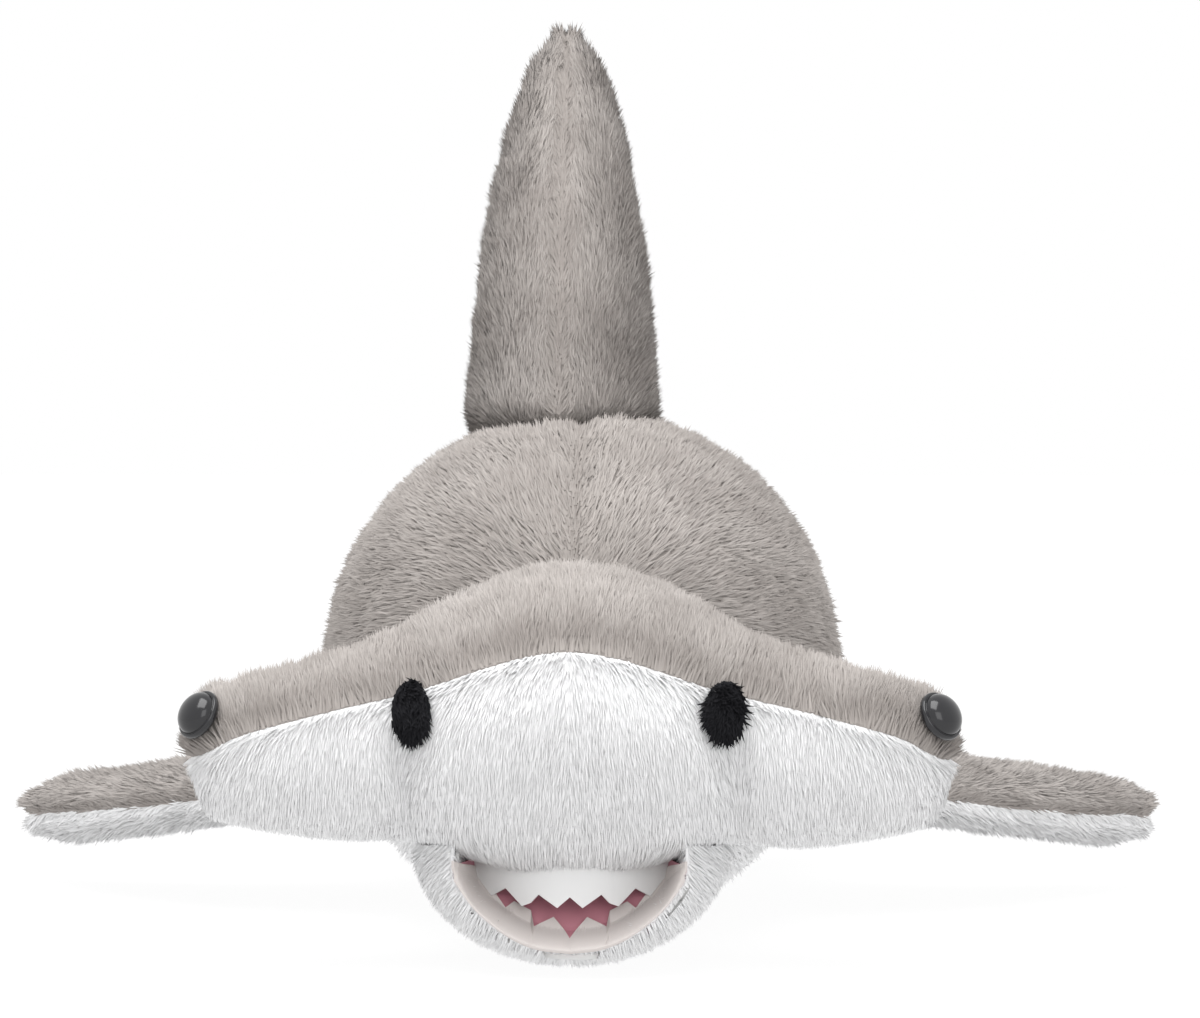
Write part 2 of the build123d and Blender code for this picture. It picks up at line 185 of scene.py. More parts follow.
def pile_tree():
    """Nodes that sow three-sided strands over a skin. The skin's attributes say how the pile lies there:
    comb is a strand's direction, pile its length, cover its share of the density and tone its shade."""
    tree = bpy.data.node_groups.new("Pile", "GeometryNodeTree")
    tree.is_modifier = True
    face = tree.interface
    face.new_socket("Skin", in_out="INPUT", socket_type="NodeSocketGeometry")
    for name, kind in (("Density", "Float"), ("Width", "Float"), ("Stray", "Float"), ("Tufts", "Float"),
                       ("Seed", "Int"), ("Plush", "Material")):
        face.new_socket(name, in_out="INPUT", socket_type=f"NodeSocket{kind}")
    face.new_socket("Strands", in_out="OUTPUT", socket_type="NodeSocketGeometry")
    entry = tree.nodes.new("NodeGroupInput")
    start = Wire(tree, None)

    def given(name):
        return Wire(tree, entry.outputs[name])

    def add(kind, settings=None, out=0, **values):
        return Wire(tree, start.node(kind, settings, **values).outputs[out])

    def stored(name, kind):
        return add("GeometryNodeInputNamedAttribute", {"data_type": kind}, Name=name)

    def vector(operation, a, b):
        return add("ShaderNodeVectorMath", {"operation": operation}, i0=a, i1=b)

    def scaled(a, scale):
        return add("ShaderNodeVectorMath", {"operation": "SCALE"}, i0=a, Scale=scale)

    def swirl(scale):
        """A direction that changes slowly over the skin."""
        made = add("ShaderNodeTexNoise", {"noise_dimensions": "3D"}, out=1, Vector=place, Scale=scale, Detail=1.0)
        return vector("SUBTRACT", made, (0.5, 0.5, 0.5))

    def random_vector(low, high, seed):
        return add("FunctionNodeRandomValue", {"data_type": "FLOAT_VECTOR"}, i0=low, i1=high, Seed=seed)

    def random_number(low, high, seed):
        return add("FunctionNodeRandomValue", {"data_type": "FLOAT"}, out=1, i2=low, i3=high, Seed=seed)

    sown = start.node("GeometryNodeDistributePointsOnFaces", {"distribute_method": "RANDOM"},
                      Mesh=given("Skin"), Density=given("Density") * stored("cover", "FLOAT"), Seed=given("Seed"))
    points, normal = Wire(tree, sown.outputs["Points"]), Wire(tree, sown.outputs["Normal"])
    points = add("GeometryNodeStoreNamedAttribute", {"data_type": "FLOAT_VECTOR", "domain": "POINT"},
                 Geometry=points, Name="skin", Value=normal)
    place = add("GeometryNodeInputPosition")
    tuft, wave = swirl(170.0), swirl(45.0)
    stray = random_vector((-1, -1, -1), (1, 1, 1), given("Seed"))
    lay = vector("ADD", stored("comb", "FLOAT_VECTOR"), scaled(vector("ADD", tuft, wave), given("Tufts")))
    lay = vector("ADD", lay, scaled(stray, given("Stray")))
    spin = random_vector((0, 0, 0), (0, 0, 2 * math.pi), given("Seed") + 1)
    turned = add("FunctionNodeEulerToRotation", i0=spin)
    turned = add("FunctionNodeAlignRotationToVector", {"axis": "Z"}, Rotation=turned, Vector=lay)
    cone = add("GeometryNodeMeshCone", {"fill_type": "NGON"}, Vertices=3, Side_Segments=1, Radius_Top=0.0,
               Radius_Bottom=1.0, Depth=1.0)
    height = add("ShaderNodeSeparateXYZ", out=2, i0=place)
    cone = add("GeometryNodeStoreNamedAttribute", {"data_type": "FLOAT", "domain": "POINT"},
               Geometry=cone, Name="rise", Value=height)
    uneven = random_number(0.7, 1.1, given("Seed") + 2)
    width = given("Width") * random_number(0.35, 0.65, given("Seed") + 3)
    size = add("ShaderNodeCombineXYZ", X=width, Y=width, Z=uneven * stored("pile", "FLOAT"))
    strands = add("GeometryNodeInstanceOnPoints", Points=points, Instance=cone, Rotation=turned, Scale=size)
    tint = random_number(-0.15, 0.15, given("Seed") + 4)
    strands = add("GeometryNodeStoreNamedAttribute", {"data_type": "FLOAT", "domain": "INSTANCE"},
                  Geometry=strands, Name="shade", Value=tint + stored("tone", "FLOAT"))
    strands = add("GeometryNodeRealizeInstances", Geometry=strands)
    strands = add("GeometryNodeSetMaterial", Geometry=strands, Material=given("Plush"))
    leave = tree.nodes.new("NodeGroupOutput")
    tree.links.new(strands.socket, leave.inputs["Strands"])
    return tree


pile_nodes = pile_tree()


def unit(vectors):
    return vectors / np.maximum(np.linalg.norm(vectors, axis=-1, keepdims=True), 1e-9)


def smooth(at, stations):
    """The other columns of a row of stations at each value of their first column, along a smooth curve."""
    table = np.array(stations, float)
    known = table[:, 0]
    slope = np.gradient(table[:, 1:], known, axis=0)
    at = np.asarray(at, float)
    i = np.clip(np.searchsorted(known, at) - 1, 0, len(known) - 2)
    step = (known[i + 1] - known[i])[..., None]
    t = np.clip((at[..., None] - known[i][..., None]) / step, 0, 1)
    low, high = table[i, 1:], table[i + 1, 1:]
    return ((1 + 2 * t) * (1 - t) ** 2 * low + t**2 * (3 - 2 * t) * high
            + t * (1 - t) ** 2 * step * slope[i] + t**2 * (t - 1) * step * slope[i + 1])


def outward(points):
    """The normals of a closed grid of rows of points, pointing out of it."""
    along = np.gradient(points, axis=0)
    around = np.gradient(points, axis=1)
    around[:, 0] = around[:, -1] = points[:, 1] - points[:, -2]
    normals = unit(np.cross(along, around))
    middle = points.mean((0, 1))
    facing = np.sign((normals * (points - middle)).sum())
    for end, inner in ((0, 1), (-1, -2)):
        normals[end] = unit(normals[inner].mean(0))
    return normals * facing


def grid_mesh(name, points, normals):
    """Quads between the rows of a grid, facing the way the normals do."""
    rows, columns = points.shape[:2]
    index = np.arange(rows * columns).reshape(rows, columns)
    quads = np.stack([index[:-1, :-1], index[:-1, 1:], index[1:, 1:], index[1:, :-1]], -1).reshape(-1, 4)
    r, c = rows // 2, columns // 2
    face = np.cross(points[r, c + 1] - points[r, c], points[r + 1, c] - points[r, c])
    if (face * normals[r, c]).sum() < 0:
        quads = quads[:, ::-1]
    mesh = bpy.data.meshes.new(name)
    mesh.from_pydata(points.reshape(-1, 3).tolist(), [], quads.tolist())
    return mesh


def linked(name, mesh):
    made = bpy.data.objects.new(name, mesh)
    bpy.context.scene.collection.objects.link(made)
    return made


def finished(made):
    """The mesh that an object's modifiers make, with the modifiers gone."""
    bpy.context.view_layer.update()
    result = bpy.data.meshes.new_from_object(made.evaluated_get(bpy.context.evaluated_depsgraph_get()))
    made.modifiers.clear()
    return result


def write_attribute(mesh, name, values, kind="FLOAT"):
    layer = mesh.attributes.new(name, kind, "POINT")
    layer.data.foreach_set("vector" if kind == "FLOAT_VECTOR" else "value", np.ascontiguousarray(values, float).ravel())


def read_attribute(mesh, name, width=1):
    values = np.zeros(len(mesh.vertices) * width, np.float32)
    mesh.attributes[name].data.foreach_get("vector" if width == 3 else "value", values)
    return values.reshape(-1, width) if width > 1 else values


def mottled(points, scale):
    """Smooth noise at each point."""
    return np.array([noise.noise(Vector(p) * scale) for p in points.reshape(-1, 3)]).reshape(points.shape[:-1])


def lay_bake_map(mesh, seed):
    """A UV map that holds each strand's shade and each point's height on it."""
    random = np.random.default_rng(seed)
    shade, rise = read_attribute(mesh, "shade"), read_attribute(mesh, "rise")
    corners = np.zeros(len(mesh.loops), np.int32)
    mesh.loops.foreach_get("vertex_index", corners)
    jitter = random.random((2, len(corners))) * 0.02
    spot = 0.02 + 0.94 * np.stack([np.clip(shade[corners], 0, 1), rise[corners]], 1) + jitter.T
    layer = mesh.uv_layers.new(name="OFBake")
    layer.data.foreach_set("uv", spot.ravel())


seam_reach = 2.6 * mm
seam_depth = 1.2 * mm
backing_thickness = 0.8 * mm


# A panel's tone sets its shade of the cloth and paints light and shade too: panels of one cloth get lighter tones where
# they face the light above and darker ones where they face the front.
def plush(name, body, cloth, node, points, normals, flow, pile, strands, cover=1.0, lift=35, width=0.8, tone=0.45,
          stray=0.22, tufts=0.9, parted=True, fluff=0.0, painted_edge_shade=0.0, seed=1):
    """A panel of plush: a cloth backing and its pile, which lies along flow and is bare where cover is 0. The
    pile of a parted panel opens at its edges, whose colour is painted darker for the shade in the seam; it can
    fluff out at the last edge, and have painted shade along the first."""
    material, slot = cloth
    points = points.copy()
    steps = np.linalg.norm(np.diff(points, axis=1), axis=2)
    far = np.concatenate([np.zeros((len(points), 1)), np.cumsum(steps, axis=1)], axis=1)
    from_first, from_last = far, far[:, -1:] - far
    near = np.zeros(far.shape)
    length = near + pile
    cover = near + cover
    comb = flow - (flow * normals).sum(-1, keepdims=True) * normals
    comb = unit(comb) * math.cos(math.radians(lift)) + normals * math.sin(math.radians(lift))
    for gap, edge in ((from_first, 0), (from_last, -1)):
        close = np.exp(-((gap / seam_reach) ** 2))
        away = unit(points - points[:, [edge]])
        if parted:
            near = np.maximum(near, close)
            comb = comb + 0.9 * close[..., None] * away
        if fluff and edge == -1:
            comb = comb + fluff * close[..., None] * (normals - 0.5 * away)
            length = length * (1 + 0.15 * fluff * close)
    comb = unit(comb)
    length = length * (1 - 0.35 * near)
    points -= normals * (seam_depth * near)[..., None]
    # a random tone, painted darker near parted edges for the shade in the seams
    shade = tone + 0.25 * mottled(points, 55) + 0.15 * mottled(points, 160) - 0.25 * near
    # painted shade along the first edge of the panel
    shade -= painted_edge_shade * np.exp(-((from_first / (7 * mm)) ** 2))
    skin = grid_mesh(name + " skin", points, normals)
    write_attribute(skin, "comb", comb, "FLOAT_VECTOR")
    write_attribute(skin, "pile", length)
    write_attribute(skin, "cover", cover)
    write_attribute(skin, "tone", shade)
    area = sum(polygon.area * cover.ravel()[polygon.vertices[0]] for polygon in skin.polygons)
    sower = linked(name, skin)
    modifier = sower.modifiers.new("Pile", "NODES")
    modifier.node_group = pile_nodes
    inputs = {item.name: item.identifier for item in pile_nodes.interface.items_tree if item.in_out == "INPUT"}
    for label, value in (("Density", strands / area), ("Width", width * mm), ("Stray", stray), ("Tufts", tufts),
                         ("Seed", seed), ("Plush", material)):
        modifier[inputs[label]] = value
    grown = finished(sower)
    random = np.random.default_rng(seed)
    under_hairs = read_attribute(grown, "skin", 3)
    corners = 4  # of one strand
    uneven = random.normal(0, 0.1, (len(under_hairs) // corners, 3)).repeat(corners, axis=0)
    grown.normals_split_custom_set_from_vertices(unit(under_hairs + uneven).tolist())
    backing = linked(name + " backing", skin)
    backing.modifiers.new("Cloth", "SOLIDIFY").thickness = backing_thickness
    cloth_mesh = finished(backing)
    cloth_mesh.materials.append(material)
    # the backing takes nearly the root colour: painted shade under the pile
    write_attribute(cloth_mesh, "rise", np.full(len(cloth_mesh.vertices), 0.1))
    write_attribute(cloth_mesh, "shade", np.clip(read_attribute(cloth_mesh, "tone"), 0, 1))
    for polygon in cloth_mesh.polygons:
        polygon.use_smooth = True
    backing.data = cloth_mesh
    sower.data = grown
    bpy.ops.object.select_all(action="DESELECT")
    for part in (sower, backing):
        part.select_set(True)
    bpy.context.view_layer.objects.active = sower
    bpy.ops.object.join()
    for spare in [a.name for a in sower.data.attributes if a.name in ("comb", "pile", "cover", "tone", "skin")]:
        sower.data.attributes.remove(sower.data.attributes[spare])
    lay_bake_map(sower.data, seed)
    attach(sower, body)
    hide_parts(node)


# stations of the hammer from its middle outwards: across, behind the nose, up, half its depth, half its height
hammer = np.array([
    (0, 46, 60, 46, 37.5),
    (25, 43, 58, 42, 33),
    (45, 34, 55.5, 28, 25.5),
    (65, 30, 54, 24, 21),
    (80, 30, 53, 20, 17.5),
    (90, 31, 52.3, 15.5, 14.5),
    (94, 31, 52, 13, 12),
]) * mm
# the front seam: across, up
hammer_seam = np.array([(0, 78), (40, 67.5), (63, 62), (78, 57.5), (88, 53), (110, 48)]) * mm
half_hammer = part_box("head_top_skin")[1].x
end_rounding = 6 * mm
neck = np.array([joint["pos_m"] for joint in frame["joints"] if joint["name"] == "neck_nod"][0])
neck_ball = 62 * mm


def mirrored(stations):
    """Both halves of a row of stations, from the one side to the other."""
    other = stations[:0:-1].copy()
    other[:, 0] *= -1
    return np.concatenate([other, stations])


def ring_columns(breaks, counts):
    """Angles round a ring with that many steps from each break to the next, and the columns of each panel."""
    parts = [np.linspace(low, high, count + 1, axis=1) for low, high, count in zip(breaks[:-1], breaks[1:], counts)]
    ends = np.cumsum([0, *counts])
    panels = [slice(first, last + 1) for first, last in zip(ends[:-1], ends[1:])]
    return np.concatenate([parts[0], *(part[:, 1:] for part in parts[1:])], axis=1), panels


def combed(points, outwards, back, up):
    """A direction for the pile that is the same all over, except that it leans outwards on both sides."""
    side = np.sign(points[..., 0])
    return np.stack([outwards * side, back + 0 * side, up + 0 * side], -1)


def hammer_grid(inset, rows, counts):
    """Rings round the hammer, from its right end to its left; each runs from the front seam over the top
    to the seam at the back, and on under the head to the front seam again."""
    half = half_hammer - inset
    across = half * np.sin(np.linspace(-math.pi / 2, math.pi / 2, rows))
    behind, up, deep, tall = smooth(across, mirrored(hammer)).T
    seam = smooth(across, mirrored(hammer_seam))[:, 0]
    start = half - end_rounding
    rounding = np.sqrt(np.clip(1 - (np.clip(np.abs(across) - start, 0, None) / (half - start)) ** 2, 0, 1))
    deep, tall = (deep - inset) * rounding, (tall - inset) * rounding
    lift = np.arcsin(np.clip((seam - up) / np.maximum(tall, 1e-6), -0.9, 0.9))
    angle, panels = ring_columns([lift, math.pi - lift, 2 * math.pi + lift], counts)
    y = nose + behind[:, None] - deep[:, None] * np.cos(angle)
    z = up[:, None] + tall[:, None] * np.sin(angle)
    return np.stack([np.broadcast_to(across[:, None], y.shape), y, z], -1), panels


def inside_hammer(points):
    """How deep points lie in the hammer, as a share of its size; above 0 they are inside it."""
    behind, up, deep, tall = np.moveaxis(smooth(np.abs(points[..., 0]), hammer), -1, 0)
    within = np.sqrt(((points[..., 1] - nose - behind) / deep) ** 2 + ((points[..., 2] - up) / tall) ** 2)
    return np.where(np.abs(points[..., 0]) < half_hammer, 1 - within, -1)


def cupped(points, centre, radius):
    """Points inside a ball moved out to it, and how far each point was from it before."""
    arm = points - centre
    distance = np.linalg.norm(arm, axis=-1)
    moved = centre + arm * (radius / distance)[..., None]
    return np.where((distance < radius)[..., None], moved, points), distance - radius


eye_seat = np.array([87 * mm, nose + 17 * mm, 62.5 * mm])
eye_looks = unit(np.array([0.66, -0.56, 0.5]))
nostril_at = np.array([36.6, 64.5]) * mm
nostril_size = np.array([4.5, 6.75]) * mm

head_points, (top, under) = hammer_grid(3.6 * mm, 150, (50, 58))
# darts under the nostrils
x, y, z = np.moveaxis(head_points, -1, 0)
front = np.clip((nose + 40 * mm - y) / (30 * mm), 0, 1)
dart = np.exp(-(((np.abs(x) - 39 * mm) / (4 * mm)) ** 2)) * np.clip((64 * mm - z) / (12 * mm), 0, 1) * front
head_points[..., 1] += 4 * mm * dart
# the ends of the hammer sag, the left one a little more, and a lip hangs over the top of the teeth
low = np.clip((57 * mm - z) / (16 * mm), 0, 1)
head_points[..., 2] -= (3.2 * mm + 1.6 * mm * (x > 0)) * low * np.exp(-(((np.abs(x) - 68 * mm) / (26 * mm)) ** 4))
lip_over_teeth = np.exp(-((x / (29 * mm)) ** 4) - ((y - nose - 23 * mm) / (10 * mm)) ** 2) * (z < 45 * mm)
head_points[..., 2] -= 4.8 * mm * lip_over_teeth
head_points, out_of_neck = cupped(head_points, neck, neck_ball - 1.5 * mm)
head_normals = outward(head_points)
# no pile in the hollow for the neck, under the eyes or under the nostrils
covered = np.clip((out_of_neck - 0.5 * mm) / (1.5 * mm), 0, 1)
to_eye = np.linalg.norm(head_points * np.where(head_points[..., :1] < 0, [-1, 1, 1], 1) - eye_seat, axis=-1)
covered = covered * (to_eye > 6.0 * mm)
wide, high = (np.abs(x) - nostril_at[0]) / nostril_size[0], (z - nostril_at[1]) / nostril_size[1]
covered = covered * (((wide**2 + high**2) ** 0.5 > 0.95) | (y > nose + 45 * mm))

top_pile, under_pile = 5.4 * mm, 3.3 * mm
# the grey top of the head takes a lighter tone than the body: painted light where it faces up
up_and_back = combed(head_points, 0.15, 0.7, 1.0)
# the grey pile is painted darker along the front seam, for the shade there
plush("head_top_plush", "head", grey_plush, "head_top_skin", head_points[:, top], head_normals[:, top],
      up_and_back[:, top], top_pile, 39500, covered[:, top], lift=38, tone=0.4, parted=False, painted_edge_shade=0.35, seed=11)
down_and_back = combed(head_points, 0.1, 0.5, -1.0)
# the pile hangs over the top of the strip of teeth
over_teeth = (np.abs(x) < 27 * mm) & (y > nose + 17 * mm) & (y < nose + 27 * mm) & (z < 45 * mm)
down_and_back[over_teeth] = (0, -0.2, -1)
plush("head_under_plush", "head", white_plush, "head_under_skin", head_points[:, under], head_normals[:, under],
      down_and_back[:, under], under_pile * (1 + 0.2 * over_teeth[:, under]), 39500, covered[:, under], lift=18,
      width=0.5, stray=0.08, tufts=0.25, parted=False, fluff=0.6, seed=12)


def plain_material(name, colour, roughness, coat=0.0):
    made, shader, _ = bare_material(name)
    shader.inputs["Base Color"].default_value = (*colour, 1)
    shader.inputs["Roughness"].default_value = roughness
    shader.inputs["Coat Weight"].default_value = coat
    return made


stuffing_wool = plain_material("Stuffing", (0.86, 0.86, 0.85), 0.95)


def closed_mesh(name, rings):
    """A mesh of closed rings of points, with a single point in place of its first and its last ring."""
    body = rings[1:-1]
    rows, columns = body.shape[:2]
    index = np.arange(rows * columns).reshape(rows, columns)
    after = np.roll(index, -1, axis=1)
    faces = np.stack([index[:-1], after[:-1], after[1:], index[1:]], -1).reshape(-1, 4).tolist()
    first, last = rows * columns, rows * columns + 1
    faces += [(first, b, a) for a, b in zip(index[0], after[0])]
    faces += [(last, a, b) for a, b in zip(index[-1], after[-1])]
    points = np.concatenate([body.reshape(-1, 3), [rings[0].mean(0)], [rings[-1].mean(0)]])
    mesh = bpy.data.meshes.new(name)
    mesh.from_pydata(points.tolist(), [], [[int(corner) for corner in face] for face in faces])
    volume = sum(polygon.center.dot(polygon.normal) * polygon.area for polygon in mesh.polygons)
    if volume < 0:
        mesh.flip_normals()
    for polygon in mesh.polygons:
        polygon.use_smooth = True
    return mesh


def stuffing(name, body, node, points, normals, depth=2.4):
    """What fills a part: a lumpy shape that many millimetres inside its cloth."""
    rows = np.unique([*range(0, len(points), 3), len(points) - 1])
    columns = np.arange(0, points.shape[1] - 1, 3)
    at, facing = points[rows][:, columns], normals[rows][:, columns]
    filling = linked(name, closed_mesh(name, at - facing * ((depth - 0.9 * mottled(at, 90)) * mm)[..., None]))
    filling.data.materials.append(stuffing_wool)
    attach(filling, body)
    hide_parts(node)


stuffing("head_stuffing", "head", "head_fill", head_points, head_normals)


# Eyes: domed black plastic in a low rim, moulded in one with a shank. The shank goes through the plush, and
# a washer of pale plastic is pressed on to it from inside.


def lathe(name, profile, seat, looks, steps=64):
    """A shape turned from (radius, height) points about the line that looks out of the seat."""
    turn = Vector((0, 0, 1)).rotation_difference(Vector(looks)).to_matrix()
    angle = np.linspace(0, 2 * math.pi, steps, endpoint=False)
    rings = np.array([[(r * math.cos(a), r * math.sin(a), h) for a in angle] for r, h in profile]) * mm
    rings = rings @ np.array(turn).T + np.array(seat)
    return closed_mesh(name, rings)


black_plastic = plain_material("Eye plastic", (0.010, 0.010, 0.012), 0.16, coat=0.15)
dome = [(5.3 * math.sin(t), 1.0 + 3.4 * math.cos(t)) for t in np.linspace(0, math.pi / 2, 14)]
rim = [(5.4, 0.75), (5.6, 1.0), (5.9, 0.95), (6.1, 0.6), (6.1, -0.3), (5.7, -0.9)]
shank = [(2.0, -1.0), (2.0, -11.6), (1.6, -12), (0, -12)]
for side_name, sign in (("left", 1), ("right", -1)):
    name = f"eye_{side_name}_dome"
    eye = linked(name, lathe(name, dome + rim + shank, eye_seat * [sign, 1, 1], eye_looks * [sign, 1, 1]))
    eye.data.materials.append(black_plastic)
    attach(eye, "head")
    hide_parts(f"eye_{side_name}")

washer_plastic = plain_material("Washer plastic", (0.75, 0.75, 0.74), 0.45)
for side_name in ("left", "right"):
    washer = frame["nodes"][f"eye_washer_{side_name}"]
    washer.data.materials.clear()
    washer.data.materials.append(washer_plastic)


# Nostrils: two oval patches of black plush, one either side of the nose, cut so that their pile runs down and
# sewn on over the front seam of the hammer.

black_pile = pile_material("Black plush", (0.006, 0.006, 0.008), (0.006, 0.006, 0.008), (0.03, 0.03, 0.034))
black_plush = (black_pile, "nostril_black")
for side_name, sign in (("left", 1), ("right", -1)):
    ring = np.linspace(0, 1, 9)[:, None]
    turn = np.linspace(0, 2 * math.pi, 33)[None, :]
    at_x = sign * (nostril_at[0] + nostril_size[0] * ring * np.cos(turn))
    at_z = nostril_at[1] + nostril_size[1] * ring * np.sin(turn)
    behind, up, deep, tall = np.moveaxis(smooth(np.abs(at_x), hammer), -1, 0)
    deep, tall = deep - 0.9 * mm, tall - 0.9 * mm
    at_y = nose + behind - deep * np.sqrt(1 - np.clip((at_z - up) / tall, -1, 1) ** 2) + 1.2 * mm * ring**3
    patch = np.stack([at_x, at_y, at_z], -1)
    facing = unit(np.stack([0 * at_x, (at_y - nose - behind) / deep**2, (at_z - up) / tall**2], -1))
    flow = np.stack([0.2 * np.cos(turn) + 0 * ring, -0.2 + 0 * at_x, -1 + 0 * at_x], -1)
    plush(f"nostril_{side_name}_patch", "head", black_plush, f"nostril_{side_name}", patch, facing, flow,
          3.4 * mm, 1200, lift=34, parted=False, stray=0.5, tufts=1.6, seed=21 + sign)


# Body: two grey panels that meet along the back and a white one under it, sewn into a barrel and stuffed. The
# toy lies on its belly, which is pressed flat there.

axis_height = 64 * mm


def barrel_grid(y, radius, counts):
    """Rings of the given radii, from the seam on the left up over the back and round under the belly."""
    seam = 38 * mm + 0.108 * (y + 62 * mm)
    low = np.arcsin(np.clip((seam - axis_height) / np.maximum(radius, 1e-6), -0.9, 0.9))
    angle, panels = ring_columns([low, math.pi / 2 + 0 * low, math.pi - low, 2 * math.pi + low], counts)
    radius = radius[:, None]
    return np.stack([radius * np.cos(angle), y[:, None] + 0 * angle, axis_height + radius * np.sin(angle)], -1), panels


body_inset = 3.0
turn = np.radians(np.linspace(180, 120, 18))
front_y, front_radius = -85 + (62 - body_inset) * np.cos(turn), (62 - body_inset) * np.sin(turn)
flank_y = np.linspace(-112, 57, 74)
girth = [(-113.5, 55), (-88, 65.5), (-60, 69), (-30, 67.5), (0, 63), (25, 56), (50, 46.8), (58, 44.8)]
flank = smooth(flank_y, girth)[:, 0] - body_inset
# the hollow that the tail turns in
cup_radius = np.array([42, 40.5, 38, 32, 22, 10, 0.01])
cup_y = 62 - np.sqrt(42.2**2 - cup_radius**2)
cup_y[0] = 59.5
body_y = np.concatenate([front_y, flank_y, cup_y]) * mm
body_radius = np.concatenate([front_radius, flank, cup_radius]) * mm
body_radius[0] = 0.01 * mm
body_points, (back_left, back_right, belly) = barrel_grid(body_y, body_radius, (44, 44, 44))
lying = 2.6 * mm
body_points[..., 2] = lying + 2 * mm * np.logaddexp(0, (body_points[..., 2] - lying) / (2 * mm))
body_normals = outward(body_points)
# no pile inside the head or in the hollow
shown = np.clip((0.03 - inside_hammer(body_points)) / 0.05, 0, 1)
shown = shown * (body_points[..., 1] < 60 * mm) * (body_radius[:, None] > 30 * mm)
shown[-len(cup_y) + 1:] = 0
rearward = combed(body_points, 0.1, 1.0, -0.35)
body_pile = 4.2 * mm
for node, panel, cloth, strands, seed in (
        ("back_left", back_left, grey_plush, 34500, 31),
        ("back_right", back_right, grey_plush, 34500, 32),
        ("belly", belly, white_plush, 20000, 33)):
    plush(f"{node}_plush", "torso", cloth, node, body_points[:, panel], body_normals[:, panel], rearward[:, panel],
          body_pile, strands, shown[:, panel], lift=32, tone=0.28, seed=seed)
stuffing("body_stuffing", "torso", "body_fill", body_points, body_normals)


# Care label: a blank satin ribbon folded double, with both of its ends caught in the seam on the left side of
# the body.

# across and up, from the one end over the fold to the other
ribbon = np.array([(53, 45.7), (58, 46.0), (63, 45.4), (68, 44.2), (72.4, 42.6), (73.2, 41.9), (72.8, 41.2), (68, 42.9),
                   (63, 44.2), (58, 44.9), (53, 44.9)])
ribbon = smooth(np.linspace(0, 10, 61), np.column_stack([range(11), ribbon])) * mm
y = np.linspace(14, 26, 9) * mm
label_points = np.stack([ribbon[:, :1] + 0 * y, y + 0 * ribbon[:, :1], ribbon[:, 1:] + 0 * y], -1)
upwards = np.broadcast_to((0.0, 0.0, 1.0), label_points.shape)
label = linked("care_label_ribbon", grid_mesh("Care label", label_points, upwards))
label.modifiers.new("Cloth", "SOLIDIFY").thickness = 0.25 * mm
label.data = finished(label)
label.data.materials.append(plain_material("Label satin", (0.88, 0.88, 0.88), 0.4))
for polygon in label.data.polygons:
    polygon.use_smooth = True
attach(label, "torso")
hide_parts("care_label")


# Tail: two grey panels and a white one, sewn as the body's are, over a ball of stuffing that turns in the end of
# the body and a cone that carries the tail fin.

tail_inset = 1.8
turn = np.radians(np.linspace(180, 72, 26))
ball_y, ball_radius = 62 + (43 - tail_inset) * np.cos(turn), (43 - tail_inset) * np.sin(turn)
cone_y = np.linspace(80, 134, 24)
cone_radius = np.interp(cone_y, [77, 136], [40.3 - tail_inset, 18 - tail_inset])
end_turn = np.radians(np.linspace(15, 90, 8))
end_y, end_radius = 134 + 7 * np.sin(end_turn), (18.5 - tail_inset) * np.cos(end_turn)
tail_y = np.concatenate([ball_y, cone_y, end_y]) * mm
tail_radius = np.concatenate([ball_radius, cone_radius, end_radius]) * mm
tail_points, (tail_left, tail_right, tail_under) = barrel_grid(tail_y, tail_radius, (26, 26, 26))
tail_normals = outward(tail_points)
out_of_body = np.clip((tail_points[..., 1] - 46 * mm) / (6 * mm), 0, 1)
rearward = combed(tail_points, 0.1, 1.0, -0.3)
for node, panel, cloth, seed in (
        ("tail_back_left", tail_left, grey_plush, 41),
        ("tail_back_right", tail_right, grey_plush, 42),
        ("tail_belly", tail_under, white_plush, 43)):
    plush(f"{node}_plush", "tail_stock", cloth, node, tail_points[:, panel], tail_normals[:, panel],
          rearward[:, panel], body_pile, 12000, out_of_body[:, panel], lift=34, seed=seed)
stuffing("tail_stuffing", "tail_stock", "tail_fill", tail_points, tail_normals)


# Fins: two panels of plush sewn together round their edge, lightly stuffed, and sewn to the body at the root.
# The pectoral and pelvic ones are grey over white, the anal one is white and the rest are grey.


def blade_grid(origin, along, out, face, stations, inset, rows, columns, root=10, squeeze=1.0):
    """Rings from inside the body out to the tip; each runs from the trailing edge over the face that's named to
    the leading edge, and back over the other face. The stations say how far out, how far back, half the chord and
    half the thickness, all in millimetres. Less squeeze makes the edges blunter."""
    origin, along, out, face = np.array(origin, float), *(unit(np.array(v, float)) for v in (along, out, face))
    table = np.array(stations, float)
    first, last = table[0, 0], table[-1, 0]
    end = last + 0.6 * table[-1, 3]
    at = first - root + (end - first + root) * np.sin(np.linspace(0, math.pi / 2, rows)) ** 0.9
    at = 0.5 * at + 0.5 * np.linspace(first - root, end, rows)
    shift, chord, thick = smooth(np.clip(at, first, last), table).T
    if root:
        scale = np.sqrt(np.clip(1 - (np.clip(first - at, 0, None) / (root * 1.001)) ** 2, 0, 1))
    else:
        scale = np.sqrt(np.clip((at - first) / (0.6 * table[0, 3]), 0.0, 1))
    scale *= np.sqrt(np.clip(1 - (np.clip(at - last, 0, None) / (end - last)) ** 2, 0, 1))
    chord, thick = (np.maximum(size - inset, 0.7) * scale for size in (chord, thick))
    turn = np.linspace(0, 2 * math.pi, 2 * columns + 1)
    centre = origin + at[:, None] * out + shift[:, None] * along
    rounded = np.sign(np.sin(turn)) * np.abs(np.sin(turn)) ** squeeze
    points = (centre[:, None] + along * (chord[:, None] * np.cos(turn))[..., None]
              + face * (thick[:, None] * rounded)[..., None])
    return points * mm, (slice(0, columns + 1), slice(columns, 2 * columns + 1)), at


